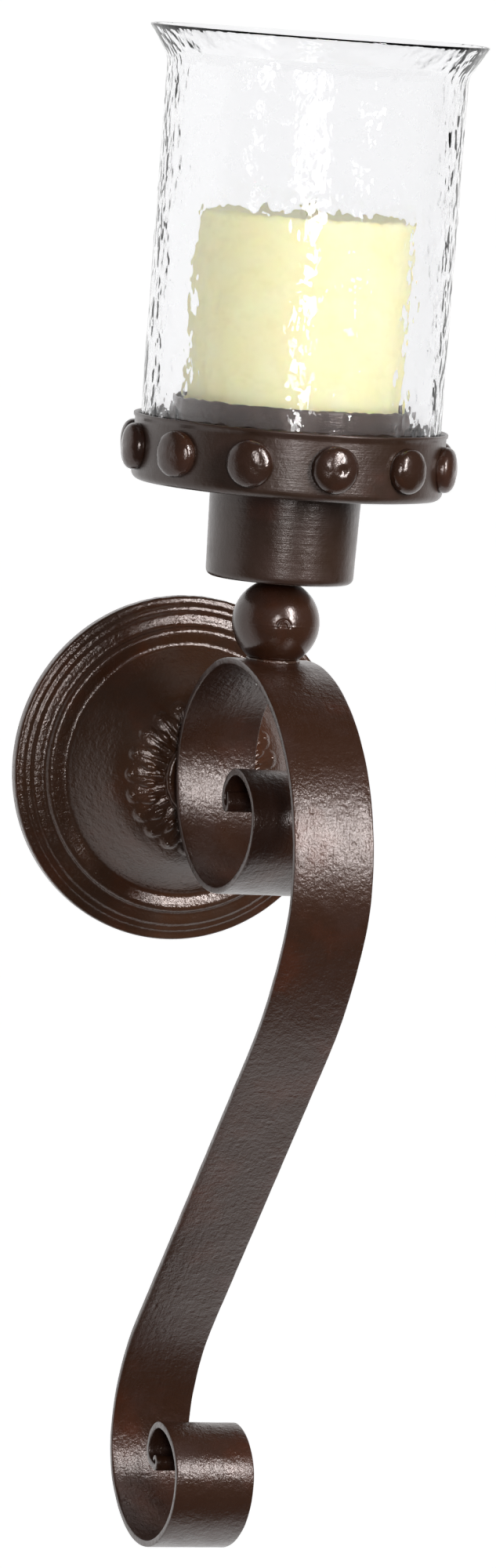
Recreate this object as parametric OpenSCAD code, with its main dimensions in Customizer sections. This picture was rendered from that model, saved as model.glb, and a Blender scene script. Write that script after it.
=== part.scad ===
// Wall sconce candle holder: a scrolled flat-bar arm on a round wall plate carries a studded
// gallery tray with a candle cup, a pillar candle and a hurricane glass.
// Millimetres. The wall is the plane Y = 0, the sconce stands out towards -Y, and +Z is up.
// The origin is the centre of the wall plate, on the wall.

/* [Wall plate] */
// Outer diameter of the wall plate
plate_d = 129; // [125:1:132]
// How far the plate's hub stands out from the wall
hub_out = 36; // [34:1:38]
// Thickness of the plate's sheet
plate_t = 1.5; // [1.2:0.1:1.8]

/* [Arm] */
// Width of the flat bar
bar_w = 30; // [28:1:32]
// Thickness of the flat bar
bar_t = 2.4; // [2:0.1:2.8]
// Distance of the candle's axis from the wall
reach = 96.4; // [95:0.1:98]
// Height of the bar's seat for the ball above the plate's centre
seat_z = 50.9; // [50:0.1:52]
// Slope of the arm's straight stretch from the vertical
arm_slope = 40.7; // [38:0.1:42]
// Length of the arm's straight stretch
arm_straight = 153.5; // [140:0.5:165]

/* [Stack under the candle] */
// Diameter of the ball
ball_d = 31.8; // [30:0.1:33]
// Diameter of the drum at its top
drum_d = 55; // [53:0.5:58]
// Height of the drum
drum_h = 32.8; // [31:0.1:36]
// Diameter of the tray over its lip
tray_d = 114; // [113:0.5:116]
// Height of the tray
tray_h = 24.3; // [22:0.1:26]
// Number of studs round the tray
stud_count = 12; // [6:1:16]
// Diameter of a stud's domed head
stud_d = 15.4; // [14:0.1:17]
// Height of a stud's domed head
stud_out = 5.4; // [4.5:0.1:6]
// Outer diameter of the candle cup
cup_d = 88; // [86:0.5:92]
// Height of the candle cup above the tray's floor
cup_h = 30.3; // [26:0.1:33]

/* [Glass and candle] */
// Outer diameter of the glass below its flare
glass_d = 109; // [107:0.5:109.5]
// Thickness of the glass
glass_t = 2.5; // [2:0.1:3]
// Height of the glass
glass_h = 163.5; // [150:0.1:175]
// Diameter of the glass over its flared rim
rim_d = 123; // [120:0.5:126]
// Diameter of the candle
candle_d = 78; // [70:0.1:80]
// Height of the candle
candle_h = 97; // [80:1:102]

/* [Hidden] */
$fn = 96;

// Colours of the finishes
bronze = [0.23, 0.17, 0.14];
bronze_light = [0.32, 0.25, 0.21];
zinc = [0.68, 0.68, 0.66];

// Fits
slack = 0.05;        // radial room of a rod, bolt or shank in its hole
past = 1;            // how far a cutting tool runs past what it cuts

// Centre bolt, M8
plate_inside = hub_out - plate_t;    // distance of the hub's inner face from the wall
bolt_r = 4;
bolt_tip = 41.5;     // distance of the bolt's tip from the wall
bolt_head_h = 5.3;
bolt_head_r = 7.5;
bolt_washer_r = 8;
washer_t = 1.6;

// Tie rod and its nuts, M6
rod_r = 3;
rod_hole_r = rod_r + 0.2;
nut_r = 5.75;
nut_h = 5;
nut_washer_r = 6;
rod_end = 1.3;       // what the rod stands out of each nut

// Boss and the welds
boss_r = 11;
boss_h = 12;         // how far the boss is turned before its end is hollowed to fit the bar
weld_w = 1.6;
ball_weld_r = 9.8;
ball_weld_edge = 0.4;
ball_weld_rise = 0.5;    // how much narrower the weld is where it meets the ball

// Hanger strap
strap_w = 22;
strap_t = 1.8;
strap_gap = 0.4;     // room between the strap and the wall
strap_eye_r = 17;
strap_eye_hole_r = 10;
keyhole_z = 38;      // height of each keyhole's slot above and below the centre
keyhole_head_r = 4.5;
keyhole_slot_r = 2.25;
keyhole_drop = 8;

// Heights on the candle's axis, from the bar's seat upwards
ball_r = ball_d / 2;
ball_lift = 13.7;    // height of the ball's centre above the seat that its foot is cut to
ball_z = seat_z + ball_lift;
drum_z = ball_z + sqrt(pow(ball_r, 2) - pow(rod_r + slack, 2));
tray_z = drum_z + drum_h;
tray_t = 1.4;
tray_wall = 1;
tray_lip = 0.6;      // how far the rolled lip stands out of the wall
tray_lip_h = 1;      // height of the lip, and of the cone that leads out to it
tray_edge = 0.3;     // bevel of the lip's edge
tray_round = 3;
tray_r = tray_d / 2 - tray_lip;
floor_z = tray_z + tray_t;
cup_t = 1.2;
cup_round = 2;
cup_edge = 0.4;      // bevel of the cup's rim
cup_floor_z = floor_z + cup_t;
recess_depth = 9;
recess_r = 11.8;
recess_z = cup_floor_z - recess_depth;
drum_wall = 2;
drum_taper = 0.7;    // how much narrower the drum's foot is than its top, on the radius
drum_round = 2.5;
sleeve_r = 6;
stud_phase = -3;     // where the first stud sits, from straight ahead
shank_r = 2;
flare_a = 32;        // how far the glass's flare leans out
bend_r = 8;          // radius of the bend below the flare, on the outer face
candle_foot = 1;     // bevel of the candle's foot
candle_round = 1.6;
wick_r = 0.8;
wick_out = 6;        // how far the wick stands out of the candle
tab_r = 8;
tab_h = 0.8;

// Bends of the bar, each [radius of its middle line, angle]. A bend with a positive angle turns
// left, and a stretch with an angle of 0 is straight and as long as its first number. Both runs
// start at the seat: the volute runs to the wall and winds inwards, the arm runs out and down.
// A third number is the thickness the bar is drawn down to by the bend's end.
volute_bends = [[61, 45], [34, 45], [39, 45], [49.5, 45], [47.5, 45], [21, 45], [13, 45],
                [24.5, 45], [14.5, 45], [8, 45], [5.4, 45], [2.3, 150, 2], [3.4, 0, 0.8]];
arm_bends = [[84.5, -45], [67.5, -45], [43, -arm_slope / 2], [159, -arm_slope / 2],
             [arm_straight, 0], [84.5, arm_slope / 2], [52.5, arm_slope / 2], [29.5, 45],
             [44.5, 45], [39.5, 45], [24.5, 45], [14, 45], [25, 45], [12.5, 45], [9.5, 45],
             [5, 70], [20, 15], [1.9, 150, 1.8], [1.7, 110, 1.4]];
seat = [reach, seat_z - bar_t / 2];
boss_bend = 2;       // the volute's bend that the boss is shaped to
bend_step = 6;       // most degrees of bend between two points of the bar's outline

// A state is [distance from the wall, height, heading] on the bar's middle line.
function bend_centre(s, b) =
    let (k = sign(b[1])) [s[0] - k * b[0] * sin(s[2]), s[1] + k * b[0] * cos(s[2])];
function bend_point(s, b, part = 1) =
    b[1] == 0 ? [s[0] + part * b[0] * cos(s[2]), s[1] + part * b[0] * sin(s[2]), s[2]]
    : let (k = sign(b[1]), c = bend_centre(s, b), a = s[2] + part * b[1])
      [c[0] + k * b[0] * sin(a), c[1] - k * b[0] * cos(a), a];
function bend_states(s, bends, i = 0) =
    i == len(bends) ? [s] : concat([s], bend_states(bend_point(s, bends[i]), bends, i + 1));
volute_states = bend_states([seat[0], seat[1], 180], volute_bends);
arm_states = bend_states([seat[0], seat[1], 0], arm_bends);

// Points along a circle's arc
function arc(c, r, from, to, steps = 8) =
    [for (i = [0:steps]) let (a = from + (to - from) * i / steps) c + r * [cos(a), sin(a)]];

// The plate's outer face as [radius, distance from the wall], drawn at drawn_d across and
// drawn_deep deep
drawn_d = 129;
drawn_deep = 36;
plate_face = concat(
    [[64.5, 0], [64.5, 3.2]],
    arc([63.4, 3.3], 1.1, 15, 95, 3),
    [[61.6, 4.9], [61, 5.5], [59.1, 6.1], [58.5, 6.8], [56.2, 7.5], [54.3, 7.8]],
    arc([51.6, 7.8], 2.2, 15, 100, 5),
    [[49.2, 9.6], [47.4, 9.3], [46.4, 9.6], [45.7, 10.2], [45, 11], [43, 13.2], [40, 16.8],
     [37, 20.5], [35, 23], [33, 25.3], [31, 27.2], [29, 28.8], [26, 30.6], [22, 32],
     [18, 32.9], [17, 33.2]],
    arc([14.4, 34.6], 1.4, 20, 90, 3));
function to_plate(p) = [p[0] * plate_d / drawn_d, p[1] * hub_out / drawn_deep];
function sheet_normal(points, i) =
    let (a = points[max(i - 1, 0)], b = points[min(i + 1, len(points) - 1)], d = b - a)
    [-d[1], d[0]] / norm(d);

module side_view() { rotate([90, 0, -90]) children(); }
module from_wall(d = 0) { rotate([90, 0, 0]) translate([0, 0, d]) children(); }
module on_axis(z = 0) { translate([0, -reach, z]) children(); }
module ring(inner, outer, h) {
    difference() {
        cylinder(r = outer, h = h);
        translate([0, 0, -past]) cylinder(r = inner, h = h + 2 * past);
    }
}
module hex_nut(r, bore, h) {
    difference() {
        cylinder(r = r, h = h, $fn = 6);
        translate([0, 0, -past]) cylinder(r = bore, h = h + 2 * past);
    }
}

// The bar's edge along one run of bends: side is 1 for the left edge and -1 for the right
function end_t(bends, i) = i < 0 || bends[i][2] == undef ? bar_t : bends[i][2];
function edge_points(states, bends, side) =
    [for (i = [0:len(bends) - 1]) let (steps = max(1, ceil(abs(bends[i][1]) / bend_step)))
        for (j = [0:steps])
            let (part = j / steps, s = bend_point(states[i], bends[i], part),
                 t = (1 - part) * end_t(bends, i - 1) + part * end_t(bends, i))
            [s[0], s[1]] + side * t / 2 * [-sin(s[2]), cos(s[2])]];
function backwards(points) = [for (i = [len(points) - 1:-1:0]) points[i]];

// The filled round of the bend that the boss meets, grown by a margin
module boss_round(grow = 0) {
    side_view() translate(bend_centre(volute_states[boss_bend], volute_bends[boss_bend]))
        linear_extrude(4 * boss_r, center = true)
            circle(r = volute_bends[boss_bend][0] + bar_t / 2 + grow);
}

module wall_plate() {
    face = [for (p = plate_face) to_plate(p)];
    back = [for (i = [len(face) - 1:-1:0]) face[i] + plate_t * sheet_normal(face, i)];
    hub_edge = face[len(face) - 1];
    hole = bolt_r + slack;
    color(bronze) from_wall() rotate_extrude()
        polygon(concat(face, [[hole, hub_edge[1]], [hole, hub_edge[1] - plate_t]],
                       [for (p = back) [p[0], max(p[1], 0)]]));
}

module keyhole() {
    translate([0, 0, -past]) linear_extrude(strap_t + 2 * past) {
        circle(r = keyhole_slot_r);
        translate([-keyhole_slot_r, -keyhole_drop]) square([2 * keyhole_slot_r, keyhole_drop]);
        translate([0, -keyhole_drop]) circle(r = keyhole_head_r);
    }
}
module hanger_strap() {
    color(zinc) from_wall(strap_gap) difference() {
        intersection() {
            cylinder(r = plate_d / 2 - plate_t, h = strap_t);
            union() {
                translate([-strap_w / 2, -plate_d / 2, 0]) cube([strap_w, plate_d, strap_t]);
                cylinder(r = strap_eye_r, h = strap_t);
            }
        }
        translate([0, 0, -past]) cylinder(r = strap_eye_hole_r, h = strap_t + 2 * past);
        for (z = [keyhole_z, -keyhole_z]) translate([0, z, 0]) keyhole();
    }
}

module centre_bolt() {
    head = plate_inside - washer_t - bolt_head_h;
    color(zinc) from_wall(head) {
        cylinder(r = bolt_head_r, h = bolt_head_h, $fn = 6);
        cylinder(r = bolt_r, h = bolt_tip - head);
    }
}
module centre_washer() {
    color(zinc) from_wall(plate_inside - washer_t) ring(bolt_r + slack, bolt_washer_r, washer_t);
}

module arm_boss() {
    color(bronze) difference() {
        from_wall(hub_out) cylinder(r = boss_r, h = boss_h);
        from_wall(hub_out - past) cylinder(r = bolt_r + slack, h = bolt_tip - hub_out + past);
        boss_round();
    }
}
module boss_weld() {
    color(bronze_light) intersection() {
        from_wall(hub_out + past) ring(boss_r, boss_r + weld_w, boss_h);
        difference() {
            boss_round(weld_w);
            boss_round();
        }
    }
}

module bar_outline(states, bends) {
    polygon(concat(edge_points(states, bends, 1), backwards(edge_points(states, bends, -1))));
}
module scroll_arm() {
    color(bronze) difference() {
        side_view() linear_extrude(bar_w, center = true) {
            bar_outline(volute_states, volute_bends);
            bar_outline(arm_states, arm_bends);
        }
        on_axis(seat_z - bar_t - past) cylinder(r = rod_hole_r, h = bar_t + 2 * past);
    }
}

// The lower washer bears on the front and back of the curved bar, just below its middle
lower_washer_top = seat_z - bar_t - pow(nut_washer_r, 2) / (2 * volute_bends[0][0]) - slack;
rod_foot = lower_washer_top - washer_t - nut_h - rod_end;
rod_head = recess_z + washer_t + nut_h + rod_end;
module lower_washer() {
    color(zinc) on_axis(lower_washer_top - washer_t) ring(rod_r + slack, nut_washer_r, washer_t);
}
module lower_nut() {
    color(zinc) on_axis(lower_washer_top - washer_t - nut_h) hex_nut(nut_r, rod_r + slack, nut_h);
}
module tie_rod() {
    color(zinc) on_axis(rod_foot) cylinder(r = rod_r, h = rod_head - rod_foot);
}

module ball() {
    color(bronze) on_axis() difference() {
        translate([0, 0, ball_z]) sphere(r = ball_r);
        translate([0, 0, seat_z - ball_d]) cylinder(r = ball_d, h = ball_d);
        translate([0, 0, ball_z - ball_d]) cylinder(r = rod_r + slack, h = 2 * ball_d);
    }
}
// What lies under the bar's top face near the seat
module under_seat() {
    first_volute = edge_points(volute_states, [volute_bends[0]], -1);
    first_arm = edge_points(arm_states, [arm_bends[0]], 1);
    side_view() linear_extrude(bar_w, center = true)
        polygon(concat(backwards(first_volute), first_arm));
}
module ball_weld() {
    foot_r = sqrt(pow(ball_r, 2) - pow(ball_z - seat_z, 2)) + 2 * slack;
    under_r = ball_weld_r - ball_weld_rise;
    color(bronze_light) difference() {
        on_axis(seat_z) rotate_extrude()
            polygon(concat([[foot_r, -past], [ball_weld_r, -past],
                             [ball_weld_r, ball_weld_edge]],
                           arc([0, ball_z - seat_z], ball_r + slack,
                               -acos(under_r / ball_r), -acos(foot_r / ball_r), 3)));
        under_seat();
    }
}

module drum_cup() {
    foot_r = drum_d / 2 - drum_taper - drum_round;
    color(bronze) on_axis(drum_z) rotate_extrude()
        polygon(concat([[rod_hole_r, 0]], arc([foot_r, drum_round], drum_round, -90, 0, 5),
                       [[drum_d / 2, drum_h], [drum_d / 2 - drum_wall, drum_h],
                        [foot_r, drum_wall], [rod_hole_r, drum_wall]]));
}
module drum_sleeve() {
    color(zinc) on_axis(drum_z + drum_wall)
        ring(rod_r + 2 * slack, sleeve_r, recess_z - cup_t - drum_z - drum_wall);
}

module gallery_tray() {
    hole_r = recess_r + cup_t + tray_edge;
    color(bronze) on_axis() difference() {
        translate([0, 0, tray_z]) rotate_extrude()
            polygon(concat([[hole_r, 0]],
                           arc([tray_r - tray_round, tray_round], tray_round, -90, 0, 5),
                           [[tray_r, tray_h - 2 * tray_lip_h], [tray_d / 2, tray_h - tray_lip_h],
                            [tray_d / 2, tray_h - tray_edge], [tray_d / 2 - tray_edge, tray_h],
                            [tray_r - tray_wall, tray_h - tray_lip],
                            [tray_r - tray_wall, tray_t], [hole_r, tray_t]]));
        stud_places() translate([0, 0, tray_r - tray_wall - past])
            cylinder(r = shank_r + slack, h = tray_wall + 2 * past);
    }
}
// Turns and lifts a stud, built along +Z from the candle's axis, to each place on the tray
module stud_places() {
    for (i = [0:stud_count - 1])
        rotate([0, 0, stud_phase + i * 360 / stud_count])
            translate([0, 0, tray_z + tray_h / 2]) rotate([90, 0, 0]) children();
}
module gallery_studs() {
    dome_r = (pow(stud_d / 2, 2) + pow(stud_out, 2)) / (2 * stud_out);
    color(bronze_light) on_axis() {
        stud_places() {
            translate([0, 0, tray_r - tray_wall + slack]) cylinder(r = shank_r, h = tray_wall + past);
            difference() {
                translate([0, 0, tray_r + stud_out - dome_r]) sphere(r = dome_r);
                rotate([90, 0, 0]) cylinder(r = tray_r, h = 3 * dome_r, center = true);
            }
        }
    }
}

module candle_cup() {
    r = cup_d / 2;
    sunk_r = recess_r + cup_t;
    color(bronze) on_axis(floor_z) rotate_extrude()
        polygon(concat([[rod_r + slack, cup_t - recess_depth], [rod_r + slack, -recess_depth],
                        [sunk_r, -recess_depth], [sunk_r, 0]],
                       arc([r - cup_round, cup_round], cup_round, -90, 0, 4),
                       [[r, cup_h - cup_edge], [r - cup_edge, cup_h], [r - cup_t, cup_h],
                        [r - cup_t, cup_t], [recess_r, cup_t],
                        [recess_r, cup_t - recess_depth]]));
}
module upper_washer() {
    color(zinc) on_axis(recess_z) ring(rod_r + slack, nut_washer_r, washer_t);
}
module upper_nut() {
    color(zinc) on_axis(recess_z + washer_t) hex_nut(nut_r, rod_r + slack, nut_h);
}

module glass_chimney() {
    r = glass_d / 2;
    cone = (rim_d / 2 - r - bend_r * (1 - cos(flare_a))) / sin(flare_a);
    centre = [r + bend_r, glass_h - (bend_r + glass_t) * sin(flare_a) - cone * cos(flare_a)];
    up = cone * [sin(flare_a), cos(flare_a)];
    outer = arc(centre, bend_r, 180, 180 - flare_a, 5);
    inner = arc(centre, bend_r + glass_t, 180, 180 - flare_a, 5);
    rim = [outer[len(outer) - 1] + up, inner[len(inner) - 1] + up];
    color([0.86, 0.9, 0.92, 0.35]) on_axis(floor_z) rotate_extrude()
        polygon(concat([[r - glass_t, 0], [r, 0]], outer, rim, backwards(inner)));
}

module candle() {
    r = candle_d / 2;
    color([0.93, 0.89, 0.64]) on_axis(cup_floor_z) rotate_extrude()
        polygon(concat([[wick_r + slack, tab_h], [tab_r + slack, tab_h], [tab_r + slack, 0],
                        [r - candle_foot, 0], [r, candle_foot]],
                       arc([r - candle_round, candle_h - candle_round], candle_round, 0, 90, 5),
                       [[wick_r + slack, candle_h]]));
}
module wick() {
    color([0.9, 0.88, 0.8]) on_axis(cup_floor_z) cylinder(r = wick_r, h = candle_h + wick_out);
}
module wick_tab() {
    color(zinc) on_axis(cup_floor_z) ring(wick_r + slack, tab_r, tab_h);
}

wall_plate();
hanger_strap();
centre_bolt();
centre_washer();
arm_boss();
boss_weld();
scroll_arm();
tie_rod();
lower_nut();
lower_washer();
ball();
ball_weld();
drum_cup();
drum_sleeve();
gallery_tray();
gallery_studs();
candle_cup();
upper_washer();
upper_nut();
glass_chimney();
candle();
wick();
wick_tab();
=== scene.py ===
"""The looks of the wall sconce candle holder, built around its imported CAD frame. All in metres."""
import math

import bmesh
import bpy
import numpy as np
from mathutils import Matrix, Vector, noise


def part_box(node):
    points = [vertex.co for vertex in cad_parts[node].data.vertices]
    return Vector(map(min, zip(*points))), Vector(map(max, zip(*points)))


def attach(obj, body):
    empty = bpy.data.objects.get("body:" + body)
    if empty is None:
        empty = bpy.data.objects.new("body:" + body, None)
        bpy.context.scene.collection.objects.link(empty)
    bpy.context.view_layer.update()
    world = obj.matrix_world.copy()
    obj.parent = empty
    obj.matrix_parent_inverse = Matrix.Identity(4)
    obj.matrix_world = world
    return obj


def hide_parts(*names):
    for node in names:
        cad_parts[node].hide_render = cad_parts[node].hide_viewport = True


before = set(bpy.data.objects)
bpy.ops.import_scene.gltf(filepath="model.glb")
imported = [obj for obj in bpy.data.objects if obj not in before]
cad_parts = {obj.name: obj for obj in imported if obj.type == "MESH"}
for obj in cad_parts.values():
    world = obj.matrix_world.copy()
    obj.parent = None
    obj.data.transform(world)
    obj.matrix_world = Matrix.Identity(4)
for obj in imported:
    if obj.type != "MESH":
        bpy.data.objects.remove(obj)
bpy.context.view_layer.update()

MM = 0.001
FULL_TURN = 2 * math.pi
FRONT = -math.pi / 2    # the angle round the candle's axis that faces away from the wall

# ---------------------------------------------------------------- camera, lights and floor
CAMERA_AZIMUTH = -19.68         # degrees, and so are the other angles here
CAMERA_ELEVATION = 6.02
CAMERA_ROLL = 4.36
CAMERA_DISTANCE = 3.15
CAMERA_LENS = 197.3
CAMERA_SHIFT = (0.0120, 0.0018)
SENSOR_WIDTH = 36
STAGE_CENTRE = Vector((0, -0.06, 0))    # what the camera and the lamps look at
FLOOR_Z = -1.4
FLOOR_RADIUS = 200
FLOOR_GLOW = 0.78
FLOOR_DARK, FLOOR_LIGHT = (0.88, 0.88, 0.88), (0.92, 0.92, 0.92)
WORLD_SEEN = 1.0                # what the camera sees behind the object
BACKDROP_LIGHT = 1.0            # the pale backdrop behind the object, as its gloss shows it
ROOM_LIGHT = 0.075              # the dim room in front and overhead
BACKDROP_SIDE = -0.12           # the backdrop reaches a little further round on the left
BACKDROP_LEAN = -0.3            # and comes further forwards below than above
BACKDROP_EDGE = (-0.15, 0.35)   # where it fades in, going round from the front
BACKDROP_TOP = (0.8, 0.4)       # where it fades in, coming down from overhead


def link(obj):
    bpy.context.scene.collection.objects.link(obj)
    return obj


def make_camera():
    az, el, roll = (math.radians(a) for a in (CAMERA_AZIMUTH, CAMERA_ELEVATION, CAMERA_ROLL))
    forward = Vector((-math.sin(az) * math.cos(el), math.cos(az) * math.cos(el), -math.sin(el)))
    right = Vector((math.cos(az), math.sin(az), 0))
    up = right.cross(forward)
    x = right * math.cos(roll) + up * math.sin(roll)
    y = up * math.cos(roll) - right * math.sin(roll)
    camera = link(bpy.data.objects.new("camera", bpy.data.cameras.new("camera")))
    turn = Matrix((x, y, -forward)).transposed().to_4x4()
    camera.matrix_world = Matrix.Translation(STAGE_CENTRE - forward * CAMERA_DISTANCE) @ turn
    camera.data.lens = CAMERA_LENS
    camera.data.sensor_width = SENSOR_WIDTH
    camera.data.shift_x, camera.data.shift_y = CAMERA_SHIFT
    camera.data.clip_end = 2 * FLOOR_RADIUS
    bpy.context.scene.camera = camera


def softbox(name, azimuth, elevation, distance, width, height, power):
    """A soft white lamp that looks at the object. Azimuth 0 is straight out from the wall, and
    more is further round to the right. Angles in degrees, power in watts."""
    az, el = math.radians(azimuth), math.radians(elevation)
    away = Vector((math.sin(az) * math.cos(el), -math.cos(az) * math.cos(el), math.sin(el)))
    lamp = link(bpy.data.objects.new(name, bpy.data.lights.new(name, "AREA")))
    lamp.data.shape = "RECTANGLE"
    lamp.data.size, lamp.data.size_y = width, height
    lamp.data.energy = power
    lamp.location = STAGE_CENTRE + away * distance
    lamp.rotation_mode = "QUATERNION"
    lamp.rotation_quaternion = away.to_track_quat("Z", "Y")


def make_lights():
    """A high narrow lamp for the sharp highlights, and a low wide one that fills the left."""
    softbox("key_right", azimuth=23, elevation=23.5, distance=2.2, width=0.30, height=1.3,
            power=48)
    softbox("key_left", azimuth=-15, elevation=9, distance=4.6, width=0.6, height=1.6, power=62)


def fade(tree, source, ends):
    """0 at the first end, 1 at the second, and a soft change between them."""
    return node(tree, "ShaderNodeMapRange", {"Value": source, "From Min": ends[0],
                                             "From Max": ends[1]},
                interpolation_type="SMOOTHSTEP")


def make_world():
    """White to the eye all round. To the object, a pale backdrop behind it and a dim room."""
    world = bpy.data.worlds.new("studio")
    world.use_nodes = True
    tree = world.node_tree
    path = tree.nodes.new("ShaderNodeLightPath")
    seen = node(tree, "ShaderNodeMath", {0: path.outputs["Is Camera Ray"],
                                         1: path.outputs["Is Transmission Ray"]},
                operation="MAXIMUM")
    way = node(tree, "ShaderNodeTexCoord")
    parts = node(tree, "ShaderNodeSeparateXYZ", {0: way.outputs["Generated"]})
    side = node(tree, "ShaderNodeMath", {0: parts.outputs["X"], 1: BACKDROP_SIDE,
                                         2: parts.outputs["Y"]}, operation="MULTIPLY_ADD")
    sweep = node(tree, "ShaderNodeMath", {0: parts.outputs["Z"], 1: BACKDROP_LEAN,
                                          2: side.outputs[0]}, operation="MULTIPLY_ADD")
    behind = fade(tree, sweep.outputs[0], BACKDROP_EDGE)
    under = fade(tree, parts.outputs["Z"], BACKDROP_TOP)
    backdrop = node(tree, "ShaderNodeMath", {0: behind.outputs[0], 1: under.outputs[0]},
                    operation="MULTIPLY")
    light = node(tree, "ShaderNodeMapRange", {"Value": backdrop.outputs[0], "To Min": ROOM_LIGHT,
                                              "To Max": BACKDROP_LIGHT})
    strength = node(tree, "ShaderNodeMapRange", {"Value": seen.outputs[0], "To Max": WORLD_SEEN,
                                                 "To Min": light.outputs[0]})
    background = tree.nodes["Background"]
    background.inputs["Color"].default_value = (1, 1, 1, 1)
    tree.links.new(strength.outputs[0], background.inputs["Strength"])
    bpy.context.scene.world = world
    bpy.context.scene.view_settings.view_transform = "Standard"


def make_floor():
    """A pale glowing floor far below. A camera underneath looks through it, and the object
    neither shows it in its gloss nor takes soft light from it."""
    floor = solid("floor", *disc(FLOOR_RADIUS, FLOOR_Z))
    if floor.data.polygons[0].normal.z < 0:
        floor.data.flip_normals()
    paint = principled("floor_paint", (0.9, 0.9, 0.9), roughness=0.8,
                       emission_color=(1, 1, 1, 1), emission_strength=FLOOR_GLOW)
    tone = noise_at(paint, 0.8, detail=2)
    colour = ramp(paint, tone, [(0.3, FLOOR_DARK), (0.7, FLOOR_LIGHT)])
    feed(paint, "Base Color", colour)
    tree = paint.node_tree
    face = node(tree, "ShaderNodeNewGeometry")
    clear = node(tree, "ShaderNodeBsdfTransparent")
    both = node(tree, "ShaderNodeMixShader", {0: face.outputs["Backfacing"],
                                              1: tree.nodes["Principled BSDF"].outputs[0],
                                              2: clear.outputs[0]})
    tree.links.new(both.outputs[0], tree.nodes["Material Output"].inputs["Surface"])
    paint_all(floor, paint)
    floor.visible_diffuse = floor.visible_glossy = False


def disc(radius, z, segments=96):
    angles = np.arange(segments) * FULL_TURN / segments
    points = [(radius * math.cos(a), radius * math.sin(a), z) for a in angles]
    return points, [tuple(range(segments))]


# ---------------------------------------------------------------- shader nodes
def node(tree, kind, inputs=None, **settings):
    """A node with these settings, whose inputs are values or other nodes' sockets."""
    made = tree.nodes.new(kind)
    for name, value in settings.items():
        setattr(made, name, value)
    for name, value in (inputs or {}).items():
        if isinstance(value, bpy.types.NodeSocket):
            tree.links.new(value, made.inputs[name])
        else:
            made.inputs[name].default_value = value
    return made


def principled(name, colour, **values):
    """A material whose shader has these values, written in words: coat_weight is Coat Weight."""
    material = bpy.data.materials.new(name)
    material.use_nodes = True
    shader = material.node_tree.nodes["Principled BSDF"]
    shader.inputs["Base Color"].default_value = (*colour, 1)
    for key, value in values.items():
        title = " ".join(w.upper() if w == "ior" else w.title() for w in key.split("_"))
        shader.inputs[title].default_value = value
    return material


def feed(material, socket, source):
    tree = material.node_tree
    tree.links.new(source, tree.nodes["Principled BSDF"].inputs[socket])


def place_at(material, scale, stretch):
    """The object's own coordinates, in steps of 1/scale metres. A bigger stretch along an axis
    packs a pattern's features closer along it."""
    tree = material.node_tree
    where = node(tree, "ShaderNodeTexCoord")
    mapped = node(tree, "ShaderNodeMapping", {"Vector": where.outputs["Object"],
                                              "Scale": [scale * s for s in stretch]})
    return mapped.outputs[0]


def noise_at(material, scale, detail=3, stretch=(1, 1, 1), rough=0.5):
    """Noise with about scale features to the metre."""
    place = place_at(material, scale, stretch)
    made = node(material.node_tree, "ShaderNodeTexNoise",
                {"Vector": place, "Scale": 1.0, "Detail": detail, "Roughness": rough})
    return made.outputs["Fac"]


def cells_at(material, scale, stretch=(1, 1, 1)):
    """Distance to the nearest of scattered points, with about scale points to the metre."""
    place = place_at(material, scale, stretch)
    made = node(material.node_tree, "ShaderNodeTexVoronoi", {"Vector": place, "Scale": 1.0})
    return made.outputs["Distance"]


def ramp(material, source, stops):
    """A colour ramp with these (position, colour) stops."""
    made = node(material.node_tree, "ShaderNodeValToRGB", {"Fac": source})
    elements = made.color_ramp.elements
    for element, (place, colour) in zip(elements, (stops[0], stops[-1])):
        element.position = place
        element.color = (*colour, 1)
    for place, colour in stops[1:-1]:
        elements.new(place).color = (*colour, 1)
    return made.outputs["Color"]


def level(material, source, low, high, to_low=0.0, to_high=1.0):
    """Maps low..high to to_low..to_high, and stops at the ends."""
    made = node(material.node_tree, "ShaderNodeMapRange",
                {"Value": source, "From Min": low, "From Max": high, "To Min": to_low,
                 "To Max": to_high})
    return made.outputs[0]


def math_of(material, operation, a, b):
    return node(material.node_tree, "ShaderNodeMath", {0: a, 1: b}, operation=operation).outputs[0]


MIX_FACTOR, MIX_A, MIX_B, MIX_RESULT = 0, 6, 7, 2    # the Mix node's colour sockets


def mixed(material, share, a, b):
    """Colour a where share is 0 and colour b where it is 1. Each is a socket or a value."""
    inputs = {MIX_FACTOR: share}
    for socket, colour in ((MIX_A, a), (MIX_B, b)):
        is_socket = isinstance(colour, bpy.types.NodeSocket)
        inputs[socket] = colour if is_socket else (*colour, 1)
    made = node(material.node_tree, "ShaderNodeMix", inputs, data_type="RGBA")
    return made.outputs[MIX_RESULT]


def bumped(material, *layers):
    """Adds bump layers, each (height socket, how high in metres), to the shader's normal and
    to its coat's, whose gloss is what shows them."""
    normal = None
    for height, distance in layers:
        inputs = {"Height": height, "Distance": distance, "Strength": 1.0}
        if normal is not None:
            inputs["Normal"] = normal
        normal = node(material.node_tree, "ShaderNodeBump", inputs).outputs[0]
    feed(material, "Normal", normal)
    feed(material, "Coat Normal", normal)


# ---------------------------------------------------------------- materials
BRONZE = (0.040, 0.0148, 0.0070)
WARM_BRONZE = (0.068, 0.019, 0.008)
GREY_BRONZE = (0.053, 0.028, 0.023)

# How many features of each of the bronze's patterns there are to the metre.
BLOTCHES, CLOUDS, SPECKS, SHEEN = 34, 55, 1500, 120
COARSE_PEEL, FINE_PEEL, PITS = 420, 1100, 150
BRUSH_MARKS, LATHE_LINES = 30, 60
ALONG_BAR = (30, 1, 1)          # the bar runs in the YZ plane
ROUND_AXIS = (0.4, 0.4, 45)


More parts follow.
